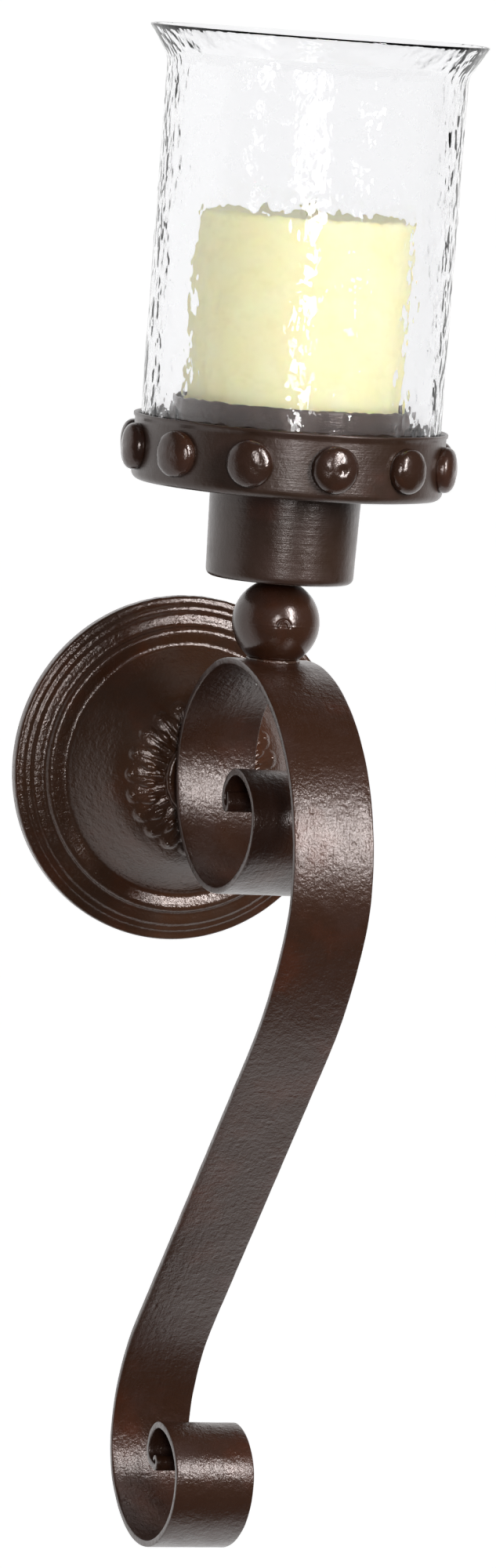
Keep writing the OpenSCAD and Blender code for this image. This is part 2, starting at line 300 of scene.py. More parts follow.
def bronze(name, base, warm, grey, rough=(0.28, 0.42), coat=0.24, peel=0.00012, lines=0.0,
           warm_at=0.5, brush=0.0):
    """Oil-rubbed bronze under lacquer: blotches of warm and grey brown and an orange-peel skin
    with pits. rough is the metal's roughness, from its smoothest to its roughest patches, and
    coat the lacquer's. peel, lines and brush are heights in metres: of the skin, of the lathe
    lines round a turned piece and of the marks along a bar. warm_at is how rare warm brown is."""
    made = principled(name, base, metallic=0.1, specular_ior_level=0.5, coat_weight=0.45,
                      coat_roughness=coat, specular_tint=(1.0, 0.88, 0.85, 1))
    blotch = level(made, noise_at(made, BLOTCHES, detail=4, rough=0.6), warm_at, warm_at + 0.2)
    cloud = level(made, noise_at(made, CLOUDS, detail=5, rough=0.65), 0.45, 0.75)
    colour = mixed(made, blotch, base, warm)
    colour = mixed(made, math_of(made, "MULTIPLY", cloud, 0.7), colour, grey)
    speck = level(made, noise_at(made, SPECKS, detail=2), 0.62, 0.8, 0.0, 0.5)
    feed(made, "Base Color", mixed(made, speck, colour, grey))
    feed(made, "Roughness", level(made, noise_at(made, SHEEN, detail=4), 0.3, 0.7, *rough))
    pits = level(made, cells_at(made, PITS), 0.10, 0.18)
    layers = [(noise_at(made, COARSE_PEEL, rough=0.6), 2 * peel),
              (noise_at(made, FINE_PEEL, rough=0.6), peel), (pits, 0.5 * peel)]
    if brush:
        layers.append((noise_at(made, BRUSH_MARKS, stretch=ALONG_BAR), brush))
    if lines:
        layers.append((noise_at(made, LATHE_LINES, stretch=ROUND_AXIS), lines))
    bumped(made, *layers)
    return made


WAX = (0.94, 0.875, 0.54)
DARK_WAX, PALE_WAX, PALEST_WAX = (0.93, 0.86, 0.49), (0.96, 0.90, 0.56), (0.97, 0.93, 0.62)
WAX_DEPTH = (0.012, 0.008, 0.003)       # how far red, green and blue light go into it
GLASS_TINT = (0.966, 0.967, 0.974)
GLASS_IOR = 1.46


def wax():
    """Cream wax that light goes a little way into, faintly mottled and uneven."""
    made = principled("candle_wax", WAX, roughness=0.42, subsurface_weight=0.5,
                      subsurface_radius=WAX_DEPTH, subsurface_scale=1.0)
    mottle = noise_at(made, 90, detail=5, rough=0.6)
    colour = ramp(made, mottle, [(0.3, DARK_WAX), (0.6, PALE_WAX), (0.8, PALEST_WAX)])
    feed(made, "Base Color", colour)
    feed(made, "Roughness", level(made, noise_at(made, 260), 0.3, 0.7, 0.36, 0.55))
    bumped(made, (noise_at(made, 300, detail=4), 0.00012), (noise_at(made, 70, detail=2), 0.0004))
    return made


def cotton():
    made = principled("wick_cotton", (0.62, 0.58, 0.45), roughness=0.9)
    strands = noise_at(made, 900, stretch=(1, 1, 0.35))
    feed(made, "Base Color", ramp(made, strands, [(0.3, (0.42, 0.38, 0.27)),
                                                  (0.7, (0.74, 0.70, 0.58))]))
    bumped(made, (strands, 0.0003))
    return made


def clear_glass():
    """Hand-blown glass: wavy, smeared in places, with patches of small drops."""
    made = principled("clear_glass", GLASS_TINT, roughness=0.0, ior=GLASS_IOR,
                      transmission_weight=1.0)
    smear = level(made, noise_at(made, 45, stretch=(1, 1, 0.4)), 0.45, 0.8, 0.0, 0.05)
    feed(made, "Roughness", smear)
    beads = level(made, cells_at(made, 240, stretch=(1, 1, 0.42)), 0.12, 0.42, 1.0, 0.0)
    thin = level(made, noise_at(made, 60, detail=2), 0.46, 0.6)
    bumped(made, (noise_at(made, 120, detail=2, stretch=(1, 1, 0.8)), 0.0006),
           (math_of(made, "MULTIPLY", beads, thin), 0.00012))
    return made


def plated_steel(name, base, dull):
    made = principled(name, base, metallic=1.0)
    cloud = noise_at(made, 160, detail=4, rough=0.6)
    feed(made, "Base Color", ramp(made, cloud, [(0.35, dull), (0.65, base)]))
    feed(made, "Roughness", level(made, cloud, 0.3, 0.7, 0.42, 0.28))
    bumped(made, (noise_at(made, 1400), 0.00003))
    return made


def make_materials():
    return {
        # The plate's bronze is lighter than the other bronzes: painted light, standing in for the
        # brighter light that the plate catches.
        "plate_bronze": bronze("plate_bronze", (0.058, 0.0235, 0.011), (0.085, 0.026, 0.010),
                               (0.064, 0.038, 0.028), rough=(0.17, 0.28), coat=0.13, warm_at=0.47),
        "arm_bronze": bronze("arm_bronze", BRONZE, WARM_BRONZE, GREY_BRONZE,
                             rough=(0.26, 0.38), coat=0.18, peel=0.00014, warm_at=0.52,
                             brush=0.0001),
        "cast_bronze": bronze("cast_bronze", BRONZE, WARM_BRONZE, GREY_BRONZE,
                              rough=(0.20, 0.30), coat=0.14, peel=0.00005),
        "turned_bronze": bronze("turned_bronze", (0.034, 0.0165, 0.0095), WARM_BRONZE,
                                GREY_BRONZE, peel=0.00005, lines=0.000045, warm_at=0.6),
        "stud_bronze": bronze("stud_bronze", (0.032, 0.0135, 0.0075), (0.060, 0.020, 0.009),
                              GREY_BRONZE, rough=(0.16, 0.26), coat=0.12, peel=0.00007),
        "weld_bead": bronze("weld_bead", (0.04, 0.022, 0.013), WARM_BRONZE, GREY_BRONZE,
                            rough=(0.14, 0.26), peel=0.0002),
        "zinc_steel": plated_steel("zinc_steel", (0.56, 0.56, 0.54), (0.40, 0.40, 0.38)),
        "tab_tin": plated_steel("tab_tin", (0.62, 0.61, 0.59), (0.46, 0.45, 0.43)),
        "clear_glass": clear_glass(),
        "candle_wax": wax(),
        "wick_cotton": cotton(),
    }


# ---------------------------------------------------------------- meshes
DOUBLED = 1e-7      # points closer together than this are one


def solid(name, points, faces):
    """A smooth-shaded mesh with its doubled points merged and its faces turned outwards."""
    mesh = bpy.data.meshes.new(name)
    mesh.from_pydata([tuple(p) for p in points], [], faces)
    work = bmesh.new()
    work.from_mesh(mesh)
    bmesh.ops.remove_doubles(work, verts=work.verts, dist=DOUBLED)
    bmesh.ops.recalc_face_normals(work, faces=work.faces)
    work.to_mesh(mesh)
    work.free()
    mesh.polygons.foreach_set("use_smooth", [True] * len(mesh.polygons))
    return link(bpy.data.objects.new(name, mesh))


def paint_all(obj, material):
    obj.data.materials.clear()
    obj.data.materials.append(material)


def grid_faces(rows, columns, closed_rows):
    """Quads between rows of points whose columns run all the way round."""
    last = rows if closed_rows else rows - 1
    i, j = np.meshgrid(np.arange(last), np.arange(columns), indexing="ij")
    down, along = (i + 1) % rows, (j + 1) % columns
    quads = [i * columns + j, i * columns + along, down * columns + along, down * columns + j]
    return np.stack(quads, -1).reshape(-1, 4).tolist()


def tube_faces(rows, columns):
    """The faces of a tube of such rows, closed at both ends."""
    last = (rows - 1) * columns
    ends = [tuple(range(columns)), tuple(range(last, last + columns))]
    return grid_faces(rows, columns, False) + ends


def arc(centre, radius, start, end, steps):
    """Points along a circle's arc, between two angles in degrees."""
    angles = np.radians(np.linspace(start, end, steps + 1))
    return [(centre[0] + radius * math.cos(a), centre[1] + radius * math.sin(a)) for a in angles]


CORNER_REACH = 0.45     # the most of an edge that a soft corner takes


def rounded(points, radius, steps=4):
    """A closed outline with soft corners of about that radius."""
    made = []
    for before, corner, after in zip(points[-1:] + points[:-1], points, points[1:] + points[:1]):
        b, c, a = (np.array(p, float) for p in (before, corner, after))
        start = c + (b - c) * min(CORNER_REACH, radius / np.linalg.norm(b - c))
        end = c + (a - c) * min(CORNER_REACH, radius / np.linalg.norm(a - c))
        made += [(1 - t) ** 2 * start + 2 * t * (1 - t) * c + t * t * end
                 for t in np.linspace(0, 1, steps + 1)]
    return [tuple(p) for p in made]


def spaced(points, step):
    """A closed outline with points added so that none are further apart than step."""
    made = []
    for a, b in zip(points, points[1:] + points[:1]):
        a, b = np.array(a, float), np.array(b, float)
        n = max(1, math.ceil(np.linalg.norm(b - a) / step))
        made += [tuple(a + (b - a) * i / n) for i in range(n)]
    return made


def revolve(name, outline, segments, relief, place):
    """Turns a closed outline of (radius, height) round an axis. relief(r, h, a) moves the points,
    and place puts the piece, made round +Z at the origin, where it belongs."""
    outline = np.array(outline, float)
    r = np.repeat(outline[:, :1], segments, 1)
    h = np.repeat(outline[:, 1:], segments, 1)
    a = np.repeat((np.arange(segments) * FULL_TURN / segments)[None], len(outline), 0)
    r, h = relief(r, h, a)
    points = np.stack([r * np.cos(a), r * np.sin(a), h], -1).reshape(-1, 3)
    obj = solid(name, points, grid_faces(len(outline), segments, True))
    obj.data.transform(place)
    return obj


def wobble(x, y, z, scale, seed=0.0):
    """Smooth noise from -1 to 1 at each point of three arrays, with about scale features to the
    metre. Each seed gives another pattern."""
    points = np.stack(np.broadcast_arrays(x, y, z), -1)
    flat = [noise.noise(Vector(p) * scale + Vector((seed, -seed, 2 * seed)))
            for p in points.reshape(-1, 3)]
    return np.array(flat).reshape(points.shape[:-1])


def bell(x):
    """A smooth hump, 1 at 0 and almost nothing past 2."""
    return np.exp(-x * x)


def rising(x, start, width):
    """0 up to start, 1 from width past it, and straight between them."""
    return np.clip((x - start) / width, 0, 1)


def falling(x, end, width):
    """1 until width before end, 0 from end on, and straight between them."""
    return np.clip((end - x) / width, 0, 1)


def turn_gap(a, centre):
    """The signed angle from centre to a, from minus half a turn to half a turn."""
    return (a - centre + math.pi) % FULL_TURN - math.pi


def finish_piece(obj, slot, body, *nodes):
    """Paints a piece and says which body carries it and which CAD nodes it stands for."""
    paint_all(obj, materials[slot])
    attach(obj, body)
    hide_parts(*nodes)


# ---------------------------------------------------------------- places read off the frame
ball_low, ball_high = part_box("ball")
axis_xy = ((ball_low + ball_high) / 2).xy
BALL_R = (ball_high.x - ball_low.x) / 2
ROD_BORE_R = 3.05 * MM      # the hole for the tie rod, through the cup and the ball
TRAY_LIP = 0.6 * MM         # how far the tray's lip stands out from its wall


def on_axis(z=0.0):
    return Matrix.Translation((axis_xy.x, axis_xy.y, z))


def from_wall():
    """Turns a piece made along +Z to stand out of the wall, along -Y."""
    return Matrix.Rotation(math.pi / 2, 4, "X")


def height_of(name):
    low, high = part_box(name)
    return low.z, high.z


def radius_of(name):
    low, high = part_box(name)
    return (high.x - low.x) / 2


# ---------------------------------------------------------------- wall plate
PETALS = 22
PETAL_SEGMENTS = 16             # how finely the plate is turned, for each petal
PLATE_SHEET = 1.5 * MM
PLATE_STEP = 0.36 * MM          # how finely its face follows its section
PLATE_BACK_SKIP = 6             # its back has one point for this many of the face's

# The section of the plate's face, in mm: (radius, distance from the wall), from the rim inwards.
# A rolled bead is an arc: its centre, its radius and the angles it runs between.
PLATE_EDGE = [(64.5, 0.2), (64.5, 3.2)]
EDGE_BEAD = ((63.4, 3.3), 1.1, 15, 95, 5)
PLATE_STEPS = [(61.8, 4.8), (61.3, 5.1), (60.9, 5.5), (59.3, 6.0), (58.8, 6.4), (58.4, 6.8),
               (56.4, 7.4), (54.6, 7.7)]
CREST_BEAD = ((51.6, 7.8), 2.2, 15, 100, 8)
PLATE_DISH = [(49.2, 9.6), (47.6, 9.3), (46.6, 9.5), (45.7, 10.2), (45, 11), (43, 13.2),
              (40, 16.8), (37, 20.5), (35, 23), (33, 25.3), (31, 27.2), (29, 28.8), (26, 30.6),
              (22, 32), (18, 32.9), (16.4, 33.2)]
HUB_BEAD = ((14.4, 34.6), 1.4, 20, 90, 5)
PLATE_HUB = [(13.4, 36), (9, 36), (4.3, 36)]

# The stamped rosette, as distances from the plate's middle.
ROSETTE_R = 29.7 * MM           # the petals' tips
TIP_AT = 26.4 * MM              # where a petal starts to round off
WAIST_AT = 24.5 * MM            # the dip along a petal's middle
BEAD_AT = 28.4 * MM
DOT_AT = 21.4 * MM
INNER_DOT_AT = 17.2 * MM
LEAF_AT = 22.2 * MM
STEM_END = 27.5 * MM


def plate_outline():
    """The plate's sheet as (radius, distance from the wall): its face, then its back."""
    face = (PLATE_EDGE + arc(*EDGE_BEAD) + PLATE_STEPS + arc(*CREST_BEAD) + PLATE_DISH
            + arc(*HUB_BEAD) + PLATE_HUB)
    face = smooth_line(np.array([(*p, 0) for p in face]) * MM, PLATE_STEP, 3 * MM)[:, :2]
    run = np.gradient(face, axis=0)
    normal = np.stack([-run[:, 1], run[:, 0]], -1) / np.linalg.norm(run, axis=1)[:, None]
    back = (face + normal * PLATE_SHEET)[::-PLATE_BACK_SKIP]
    back[:, 1] = np.maximum(back[:, 1], 0.0)
    back[:, 0] = np.clip(back[:, 0], face[-1, 0], face[0, 0] - PLATE_SHEET)
    return np.concatenate([face, back])


def rosette(r, a):
    """Height of the stamped rosette: rounded petals, each with a stem along its middle, a bead
    on its tip and two dots nearer the hub, and pointed leaves between the petals."""
    half = math.pi / PETALS
    petal = (a + half) % (2 * half) - half            # angle from the nearest petal's middle
    gap = (a % (2 * half)) - half                     # angle from the nearest gap's middle
    across, between = petal * r, gap * r
    tip = rising(r, TIP_AT, 3.3 * MM)
    lobe_w = 0.9 * half * r * np.sqrt(np.clip(1 - tip**2, 0.0001, 1))
    lobe = 0.75 * MM * np.sqrt(np.clip(1 - (across / lobe_w) ** 2, 0, 1)) * (r < ROSETTE_R)
    lobe *= 1 - 0.35 * bell((r - WAIST_AT) / (2.2 * MM)) * bell(across / (1.0 * MM))
    bead = 0.95 * MM * bell(np.hypot(across, r - BEAD_AT) / (0.55 * MM))
    dot = 0.75 * MM * bell(np.hypot(across, r - DOT_AT) / (0.48 * MM))
    inner = 0.5 * MM * bell(np.hypot(across, r - INNER_DOT_AT) / (0.42 * MM))
    reach = np.clip(1 - ((r - LEAF_AT) / (3.6 * MM)) ** 2, 0, 1)
    leaf = 1.5 * MM * np.clip((1.5 * MM * reach - np.abs(between)) / (1.2 * MM), 0, 1)
    stem = 0.45 * MM * bell(across / (0.4 * MM)) * falling(r, STEM_END, 2 * MM)
    return lobe + stem + bead + dot + inner + leaf


def plate_relief(r, h, a):
    """The rosette, a slight unevenness over the whole face and a chipped rim at the top."""
    x, y = r * np.cos(a), r * np.sin(a)
    inside = rising(r, 15.5 * MM, MM) * falling(r, 33 * MM, MM)
    h = h + inside * rosette(r, a)
    face = rising(r, 8 * MM, 10 * MM) * falling(r, 63 * MM, 4 * MM)
    h = h + 0.10 * MM * face * wobble(x, y, 0, 90, 3)
    top = bell(turn_gap(a, math.pi / 2) / 0.32) * rising(r, 62.8 * MM, MM)
    r = r + 0.30 * MM * top * wobble(x, y, h, 620, 5) - 0.1 * MM * top
    return r, np.maximum(h, 0)


def make_plate():
    segments = PETALS * PETAL_SEGMENTS
    obj = revolve("wall_plate", plate_outline(), segments, plate_relief, from_wall())
    finish_piece(obj, "plate_bronze", "sconce", "wall_plate")


# ---------------------------------------------------------------- scroll arm
BAR_T = 2.4 * MM
BAR_EDGE = 0.5 * MM         # how soft its corners are
BAR_STEP = 0.7 * MM         # how finely it follows its bends
BAR_ACROSS = 2.6 * MM       # how finely its section is cut
BAR_STRAIGHT = 18 * MM      # gaps longer than this between the CAD's points are straight
CAD_DOUBLED = 1e-6          # points of the CAD's mesh closer together than this are one
ON_SIDE = 1e-5              # how near a face has to be to the bar's side to belong to it
END_TURN = 1                # radians; only the corners of the bar's ends turn more


def side_loop(obj):
    """The outline of a flat-sided node's +X side, as (y, z) points in order."""
    work = bmesh.new()
    work.from_mesh(obj.data)
    bmesh.ops.remove_doubles(work, verts=work.verts, dist=CAD_DOUBLED)
    side = max(v.co.x for v in work.verts)
    flat = {f.index for f in work.faces if all(abs(v.co.x - side) < ON_SIDE for v in f.verts)}
    near = {}
    for edge in work.edges:
        if sum(f.index in flat for f in edge.link_faces) == 1:
            for one, other in (edge.verts, reversed(edge.verts)):
                near.setdefault(one.index, []).append(other.index)
    work.verts.ensure_lookup_table()
    start = next(iter(near))
    order, at, before = [start], near[start][0], start
    while at != start:
        order.append(at)
        step = [n for n in near[at] if n != before][0]
        before, at = at, step
    points = np.array([(work.verts[i].co.y, work.verts[i].co.z) for i in order])
    work.free()
    return points


def middle_line(loop):
    """A bent bar's middle line and thickness, as (y, z, thickness) from one end to the other, out
    of its side's outline, whose two edges have their points in pairs."""
    step = np.roll(loop, -1, 0) - loop
    heading = np.arctan2(step[:, 1], step[:, 0])
    turn = np.abs((heading - np.roll(heading, 1) + math.pi) % FULL_TURN - math.pi)
    corner = turn > END_TURN
    first, second = [i for i in range(len(loop)) if corner[i] and corner[(i + 1) % len(loop)]]
    left = np.array([loop[i % len(loop)] for i in range(first + 1, second + 1)])
    right = np.array([loop[i % len(loop)] for i in range(first + len(loop), second, -1)])
    thick = np.linalg.norm(left - right, axis=1)
    return np.column_stack([(left + right) / 2, thick])


def smooth_line(points, step, straight):
    """Even steps along a smooth curve (a cubic Hermite spline) through points, whose third value
    goes along. Gaps longer than straight stay straight."""
    kept = [points[0]]
    for a, b in zip(points[:-1], points[1:]):
        n = max(1, round(np.linalg.norm((b - a)[:2]) / straight))
        kept += [a + (b - a) * i / n for i in range(1, n + 1)]
    p = np.array(kept)
    gaps = np.linalg.norm(np.diff(p[:, :2], axis=0), axis=1)
    p = p[np.concatenate([[True], gaps > CAD_DOUBLED])]
    gaps = np.linalg.norm(np.diff(p[:, :2], axis=0), axis=1)
    s = np.concatenate([[0], np.cumsum(gaps)])      # how far along each point is
    slope = np.gradient(p, s, axis=0)
    at = np.linspace(0, s[-1], round(s[-1] / step) + 1)
    i = np.clip(np.searchsorted(s, at, side="right") - 1, 0, len(gaps) - 1)
    w = gaps[i][:, None]
    t = ((at - s[i])[:, None]) / w
    return ((2 * t**3 - 3 * t**2 + 1) * p[i] + (t**3 - 2 * t**2 + t) * w * slope[i]
            + (3 * t**2 - 2 * t**3) * p[i + 1] + (t**3 - t**2) * w * slope[i + 1])


def bar_section(width):
    """The flat bar's section as (across, up) points, with soft edges."""
    w, t = width / 2, BAR_T / 2
    corners = [(-w, -t), (w, -t), (w, t), (-w, t)]
    return np.array(spaced(rounded(corners, BAR_EDGE, 3), BAR_ACROSS))


def make_arm():
    """The bent bar, swept along the CAD's middle line with its hammered faces and edges."""
    low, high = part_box("scroll_arm")
    middle = middle_line(side_loop(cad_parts["scroll_arm"]))
    made = smooth_line(middle, BAR_STEP, BAR_STRAIGHT)
    line, thick = made[:, :2], made[:, 2:] / BAR_T
    run = np.gradient(line, axis=0)
    run /= np.linalg.norm(run, axis=1)[:, None]
    up = np.stack([-run[:, 1], run[:, 0]], -1)
    section = bar_section(high.x - low.x)
    s = np.arange(len(line)) * BAR_STEP
    u, v = section[:, 0], section[:, 1]
    hammer = 0.10 * MM * wobble(s[:, None], u[None] * 1.6, np.sign(v)[None], 75, 2)
    edge = 0.08 * MM * wobble(s[:, None], 0 * u[None], np.sign(u)[None], 130, 7)
    out = (v[None] + hammer * np.abs(v[None]) / (BAR_T / 2)) * thick
    across = u[None] + edge * np.abs(u[None]) / abs(u).max()
    yz = line[:, None] + up[:, None] * out[..., None]
    points = np.concatenate([across[..., None], yz], -1).reshape(-1, 3)
    obj = solid("scroll_arm", points, tube_faces(len(line), len(section)))
    obj.data.transform(Matrix.Translation(((low.x + high.x) / 2, 0, 0)))
    finish_piece(obj, "arm_bronze", "sconce", "scroll_arm")


# ---------------------------------------------------------------- ball, drum, tray, cup
BALL_SEGMENTS = 360
BALL_ROWS = 170
BALL_TOP_ANGLE = 79     # degrees up to the tie rod's hole
SPRUE_ANGLE = -9        # degrees of the sprue's stub from the front


def ball_relief(r, h, a):
    """A cast ball's parting line and the cut stub of its sprue, both at the front. The stub is a
    curved groove, a lip inside it and a flat cut in the middle, and fades out below."""
    seam = 0.14 * MM * bell(h / (0.2 * MM)) * bell(turn_gap(a, FRONT) / 0.9)
    side = turn_gap(a, FRONT + math.radians(SPRUE_ANGLE)) * BALL_R
    from_mark = np.hypot(side, h + 0.1 * MM)
    above = rising(h, -0.7 * MM, 0.3 * MM)
    groove = -0.38 * MM * bell((from_mark - 2.5 * MM) / (0.32 * MM)) * above
    lip = 0.22 * MM * bell((from_mark - 1.9 * MM) / (0.35 * MM)) * above
    cut = -0.25 * MM * falling(from_mark, 1.5 * MM, 0.4 * MM) * above
    swell = 1 + (seam + groove + lip + cut) / BALL_R
    x, y = r * np.cos(a), r * np.sin(a)
    swell = swell + 0.003 * wobble(x, y, h, 70, 4)
    return r * swell, h * swell


def make_ball():
    low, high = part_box("ball")
    centre = high.z - math.sqrt(BALL_R**2 - ROD_BORE_R**2)
    foot = low.z - centre
    foot_angle = math.degrees(math.asin(foot / BALL_R))
    outline = ([(ROD_BORE_R, foot)] + arc((0, 0), BALL_R, foot_angle, BALL_TOP_ANGLE, BALL_ROWS)
               + [(ROD_BORE_R, high.z - centre)])
    obj = revolve("ball", outline, BALL_SEGMENTS, ball_relief, on_axis(centre))
    finish_piece(obj, "cast_bronze", "sconce", "ball")


DRUM_SEGMENTS, TRAY_SEGMENTS, CUP_SEGMENTS = 160, 288, 224
DRUM_STEP, TRAY_STEP = 0.8 * MM, 1.1 * MM       # how finely sections are cut, the cup's too


def make_drum():
    low, high = height_of("drum_cup")
    r, wall, bore = radius_of("drum_cup"), 2 * MM, 3.2 * MM
    height, bend, side_at = high - low, 2.5 * MM, 3 * MM
    foot = r - 0.7 * MM         # it widens a little towards its top
    side = [(foot, side_at), (r, height), (r - wall, height), (foot - wall, side_at)]
    outline = ([(bore, 0)] + arc((foot - bend, bend), bend, -90, 0, 8)
               + rounded(side, 0.35 * MM)[4:-4]       # only its top corners are soft
               + [(foot - 4 * MM, wall), (bore, wall)])

    def relief(r, h, a):
        return r + 0.015 * MM * np.sin(h / MM * 2.1 + np.sin(a) * 0.4) * (r > 20 * MM), h

    obj = revolve("drum_cup", spaced(outline, DRUM_STEP), DRUM_SEGMENTS, relief, on_axis(low))
    finish_piece(obj, "turned_bronze", "sconce", "drum_cup")


def make_tray():
    low, high = height_of("gallery_tray")
    lip_r, height = radius_of("gallery_tray"), high - low
    r, hole, sheet = lip_r - TRAY_LIP, 13.3 * MM, 1.4 * MM
    bend_out, bend_in, lip_bead, inner_r = 3 * MM, 2 * MM, 0.5 * MM, r - MM
    outline = ([(hole, 0)] + arc((r - bend_out, bend_out), bend_out, -90, 0, 8)
               + [(r, height - 1.9 * MM), (lip_r - 0.1 * MM, height - 1.3 * MM)]
               + arc((lip_r - lip_bead, height - lip_bead), lip_bead, -20, 150, 6)
               + [(inner_r, height - 0.8 * MM), (inner_r, sheet + bend_in)]
               + arc((r - 3 * MM, sheet + bend_in), bend_in, 0, -90, 5)[1:]
               + [(hole, sheet)])

    def relief(r, h, a):
        x, y = r * np.cos(a), r * np.sin(a)
        outer = rising(r, 45 * MM, 10 * MM)
        uneven = 0.16 * MM * outer * wobble(x, y, h * 0.5, 45, 6)
        return r + uneven, h + 0.1 * MM * wobble(x, y, 0, 30)

    obj = revolve("gallery_tray", spaced(outline, TRAY_STEP), TRAY_SEGMENTS, relief,
                  on_axis(low))
    finish_piece(obj, "turned_bronze", "sconce", "gallery_tray")


STUD_PHASE = -3         # degrees, of the first stud from the front
# How far round each stud is from its even place, in degrees.
STUD_OFFSETS = (0.3, 1.6, 1.9, -0.6, 0.8, -0.9, 0.5, -0.4, 0.7, -1.2, -1.4, -0.4)
STUD_R = 8.4 * MM
STUD_OUT = 5.7 * MM
STUD_ROWS, STUD_SEGMENTS = 26, 64
STUD_ROOT = 1.0 * MM    # how deep its middle runs into the tray's wall


def one_stud(index, wall_r, rng):
    """A domed head, built outwards along +Z from the tray's wall, which it hugs. The first one,
    at the front, is dented."""
    head_r = STUD_R * rng.uniform(0.97, 1.03)
    out = STUD_OUT * rng.uniform(0.96, 1.02)
    seed = rng.uniform(10, 90)
    tilt, lean = rng.uniform(0, FULL_TURN), rng.uniform(0.0, 0.05)
    t = np.linspace(0, 1, STUD_ROWS)
    r = head_r * np.sin(t * math.pi / 2) ** 0.9
    h = out * (0.16 + 0.84 * np.cos(t * math.pi / 2) ** 0.72)
    r = np.concatenate([r, [head_r, head_r * 0.97, 2 * MM, 2 * MM, 0.0]])
    h = np.concatenate([h, [0.03 * out, -0.02 * MM, -0.1 * MM, -STUD_ROOT, -STUD_ROOT]])
    a = np.arange(STUD_SEGMENTS) * FULL_TURN / STUD_SEGMENTS
    x, y = r[:, None] * np.cos(a), r[:, None] * np.sin(a)
    z = np.repeat(h[:, None], STUD_SEGMENTS, 1)
    face = (np.arange(len(r)) < STUD_ROWS)[:, None] * rising(z, 0, out)
    leaning = lean * (x * math.cos(tilt) + y * math.sin(tilt))
    z = z + face * (0.22 * MM * wobble(x, y, z, 260, seed) + leaning)
    if index == 0:
        dent = bell(np.hypot(x - 1.7 * MM, y - 0.2 * MM) / (1.5 * MM))
        z = z - 0.75 * MM * dent * face
    z = z - (wall_r - np.sqrt(wall_r**2 - x**2))      # the base follows the round wall
    return np.stack([x, y, z], -1).reshape(-1, 3), grid_faces(len(r), STUD_SEGMENTS, False)


def make_studs():
    tray_low, tray_high = height_of("gallery_tray")
    wall_r = radius_of("gallery_tray") - TRAY_LIP
    middle = (tray_low + tray_high) / 2
    rng = np.random.default_rng(12)
    points, faces = [], []
    for i, offset in enumerate(STUD_OFFSETS):
        turn = math.radians(STUD_PHASE + offset + i * 360 / len(STUD_OFFSETS))
        place = (on_axis(middle + rng.uniform(-0.3, 0.3) * MM) @ Matrix.Rotation(turn, 4, "Z")
                 @ from_wall() @ Matrix.Translation((0, 0, wall_r)))
        own, quads = one_stud(i, wall_r, rng)
        start = len(points)
        points += [place @ Vector(p) for p in own]
        faces += [tuple(start + k for k in quad) for quad in quads]
    obj = solid("gallery_studs", points, faces)
    finish_piece(obj, "stud_bronze", "sconce", "gallery_studs")


def make_cup():
    low, high = height_of("candle_cup")
    r, wall, height = radius_of("candle_cup"), 1.2 * MM, high - low
    recess, depth = 11.8 * MM, 9 * MM      # the hollow in its floor, for the nut
    bend_out, bend_in = 2 * MM, 1.2 * MM
    floor = depth + wall
    outline = ([(ROD_BORE_R, wall), (ROD_BORE_R, 0), (recess + wall, 0),
                (recess + wall, depth - 0.4 * MM), (recess + wall + 0.4 * MM, depth)]
               + arc((r - bend_out, depth + bend_out), bend_out, -90, 0, 6)
               + arc((r - wall / 2, height - wall / 2), wall / 2, 0, 180, 6)
               + [(r - wall, floor + bend_in)]
               + arc((r - wall - bend_in, floor + bend_in), bend_in, 0, -90, 4)[1:]
               + [(recess + 0.6 * MM, floor), (recess, floor - 0.6 * MM), (recess, wall)])

    def relief(r, h, a):
        x, y = r * np.cos(a), r * np.sin(a)
        outer = rising(r, 40 * MM, 3 * MM)
        return r + 0.12 * MM * outer * wobble(x, y, h * 0.5, 50, 9), h

    obj = revolve("candle_cup", spaced(outline, TRAY_STEP), CUP_SEGMENTS, relief, on_axis(low))
    finish_piece(obj, "turned_bronze", "sconce", "candle_cup")


# ---------------------------------------------------------------- glass
DROPS = 460
GLASS_R = 54.5 * MM
GLASS_T = 2.5 * MM
GLASS_FLARE = 32            # degrees that the rim leans outwards
GLASS_BEND = 8 * MM         # the radius it bends with
RIM_THINNING = 1.3 * MM     # how much thinner than the wall the rim is
GLASS_SEGMENTS = 400
GLASS_STEP = 1.4 * MM       # how finely its section is cut


def drops_at(a, h, height, rng):
    """Drops, longer than they are wide, scattered over the glass's outer face. Most are raised
    and some are pressed in."""
    rise = np.zeros_like(a)
    for _ in range(DROPS):
        at, z = rng.uniform(0, FULL_TURN), rng.uniform(0.03, 0.98) * height
        wide = rng.uniform(0.7, 1.5) * MM
        long = wide * rng.uniform(1.2, 2.6)
        tall = rng.uniform(0.10, 0.34) * MM * rng.choice([1, 1, -0.7])
        rows = np.nonzero(np.abs(h[:, 0] - z) < 2.6 * long)[0]      # those it reaches
        rows = slice(rows[0], rows[-1] + 1)
        side = turn_gap(a[rows], at) * GLASS_R
        rise[rows] += tall * bell(side / wide) * bell((h[rows] - z) / long)
    return rise


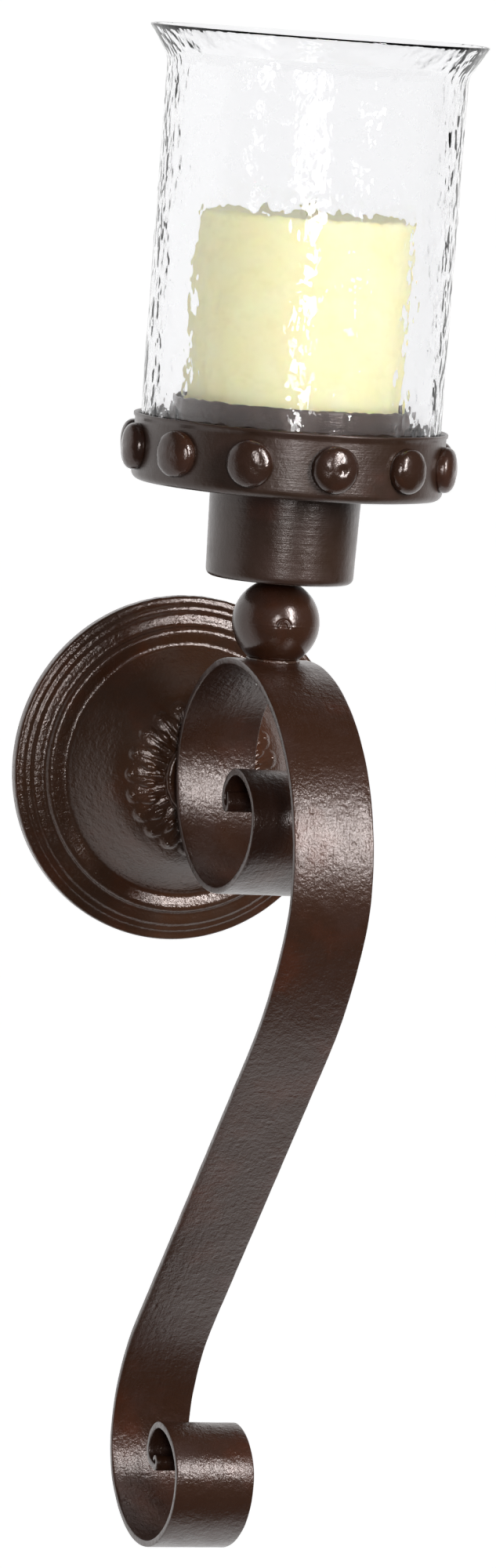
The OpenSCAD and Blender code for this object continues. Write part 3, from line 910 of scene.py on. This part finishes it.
def glass_outline():
    """The section of the glass's wall, and how tall it is: outer face up, rounded rim, inner
    face down."""
    low, high = height_of("glass_chimney")
    rim = radius_of("glass_chimney")
    height = high - low
    flare = math.radians(GLASS_FLARE)
    cone = (rim - GLASS_R - GLASS_BEND * (1 - math.cos(flare))) / math.sin(flare)
    lean = np.array([math.sin(flare), math.cos(flare)])
    centre = (GLASS_R + GLASS_BEND, height - (GLASS_BEND + GLASS_T) * lean[0] - cone * lean[1])
    outer = [(GLASS_R, 0.8 * MM)] + arc(centre, GLASS_BEND, 180, 180 - GLASS_FLARE, 8)
    inner = arc(centre, GLASS_BEND + GLASS_T, 180, 180 - GLASS_FLARE, 8)
    outer.append(tuple(np.array(outer[-1]) + cone * lean))
    thinner = RIM_THINNING * np.array([lean[1], -lean[0]])
    inner.append(tuple(np.array(inner[-1]) + cone * lean + thinner))
    foot = [(GLASS_R - GLASS_T, 0.4 * MM), (GLASS_R - 1.2 * MM, 0.1 * MM)]
    return rounded(outer + inner[::-1] + foot, 0.7 * MM, 3), height


def make_glass():
    outline, height = glass_outline()
    rng = np.random.default_rng(41)

    def relief(r, h, a):
        depth = GLASS_R + np.maximum(h - 0.85 * height, 0) * 0.5 - r     # inside the outer face
        outer = np.clip(1 - depth / (0.8 * MM), 0, 1)
        x, y = r * np.cos(a), r * np.sin(a)
        wave = 0.14 * MM * wobble(x, y, h * 0.6, 60, 8)
        ends = rising(h, 0, 3 * MM) * falling(h, height, 3 * MM)
        return r + ends * (wave + outer * drops_at(a, h, height, rng) - 0.15 * MM), h

    fine = spaced(outline, GLASS_STEP)
    inner_face = GLASS_R - 0.6 * GLASS_T      # which shows less, so has half as many rings
    rings = [p for i, p in enumerate(fine) if i % 2 == 0 or p[0] > inner_face]
    low = height_of("glass_chimney")[0]
    obj = revolve("glass_chimney", rings, GLASS_SEGMENTS, relief, on_axis(low))
    finish_piece(obj, "clear_glass", "chimney", "glass_chimney")


# ---------------------------------------------------------------- candle
CANDLE_DENT = 0.12 * MM     # how deep the unevenness of its side is
CANDLE_SEGMENTS = 160
CANDLE_STEP = 1.6 * MM      # how finely its section is cut
WICK_STRANDS = 3
WICK_ROWS, WICK_SEGMENTS = 24, 20       # the rows are as many within the wax as above it
WICK_BEND = 2.6 * MM        # how far its tip leans over


def make_candle():
    low, high = height_of("candle")
    r, height = radius_of("candle"), high - low
    tab_r, tab_h = radius_of("wick_tab") + 0.05 * MM, 0.8 * MM
    wick_hole, shoulder = 0.85 * MM, 2 * MM
    outline = [(wick_hole, tab_h), (tab_r, tab_h), (tab_r, 0), (r - MM, 0), (r, MM),
               (r, height - 1.6 * MM)]
    outline += arc((r - shoulder, height - shoulder), shoulder, 0, 90, 6)[1:]
    outline += [(r - 8 * MM, height - 0.5 * MM), (20 * MM, height - 0.9 * MM),
                (4 * MM, height - 0.7 * MM), (wick_hole, height - 0.2 * MM)]

    def relief(r, h, a):
        x, y = r * np.cos(a), r * np.sin(a)
        outer = rising(r, 30 * MM, 8 * MM)
        top = rising(h - height, -4 * MM, 3 * MM) * rising(r, 0, 10 * MM)
        r = r - outer * (CANDLE_DENT - CANDLE_DENT * wobble(x, y, h, 70, 11))
        return r, h + top * (0.3 * MM * wobble(x, y, h, 120, 12) - 0.2 * MM)

    obj = revolve("candle", spaced(outline, CANDLE_STEP), CANDLE_SEGMENTS, relief, on_axis(low))
    finish_piece(obj, "candle_wax", "candle_body", "candle")


def make_wick():
    """A braided wick of three strands that leans over above the wax."""
    low, high = height_of("wick")
    top = height_of("candle")[1]
    radius = radius_of("wick")
    z = np.concatenate([np.linspace(low, top, WICK_ROWS), np.linspace(top, high, WICK_ROWS)[1:]])
    above = rising(z, top, high - top)
    bend = WICK_BEND * above**1.6
    a = np.arange(WICK_SEGMENTS) * FULL_TURN / WICK_SEGMENTS
    rows = []
    for height, shift, share in zip(z, bend, above):
        twist = 1 + 0.16 * np.cos(WICK_STRANDS * (a - height / MM * 1.6))
        r = radius * 0.9 * twist * (1 - 0.25 * share**4)
        rows.append(np.stack([r * np.cos(a) + shift, r * np.sin(a) - shift * 0.3,
                              np.full(WICK_SEGMENTS, height)], -1))
    obj = solid("wick", np.concatenate(rows), tube_faces(len(rows), WICK_SEGMENTS))
    obj.data.transform(on_axis())
    finish_piece(obj, "wick_cotton", "candle_body", "wick")


# ---------------------------------------------------------------- hardware
def soften(name, slot, width=0.25 * MM):
    """A CAD node kept as it is, with its edges eased and its finish set."""
    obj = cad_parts[name]
    paint_all(obj, materials[slot])
    ease = obj.modifiers.new("ease", "BEVEL")
    ease.width = width
    ease.segments = 2
    ease.limit_method = "ANGLE"
    ease.angle_limit = math.radians(35)


def weld(name):
    """A CAD weld bead, made lumpy: a fine even mesh, pushed in and out and then calmed."""
    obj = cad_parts[name]
    paint_all(obj, materials["weld_bead"])
    skin = obj.modifiers.new("skin", "REMESH")
    skin.mode = "VOXEL"
    skin.voxel_size = 0.22 * MM
    skin.use_smooth_shade = True
    lumps = bpy.data.textures.new(name + "_lumps", "CLOUDS")
    lumps.noise_scale = 0.0022
    push = obj.modifiers.new("lumps", "DISPLACE")
    push.texture = lumps
    push.texture_coords = "LOCAL"
    push.strength = 0.7 * MM
    push.mid_level = 0.5
    calm = obj.modifiers.new("calm", "SMOOTH")
    calm.iterations = 3


def make_hardware():
    for name in ("hanger_strap", "centre_bolt", "centre_washer", "tie_rod", "lower_nut",
                 "lower_washer", "upper_washer", "upper_nut", "drum_sleeve"):
        soften(name, "zinc_steel")
    soften("wick_tab", "tab_tin", 0.15 * MM)
    soften("arm_boss", "arm_bronze", 0.5 * MM)
    weld("ball_weld")
    weld("boss_weld")


# ---------------------------------------------------------------- the scene
make_camera()
make_lights()
make_world()
make_floor()
materials = make_materials()
make_plate()
make_arm()
make_ball()
make_drum()
make_tray()
make_studs()
make_cup()
make_glass()
make_candle()
make_wick()
make_hardware()
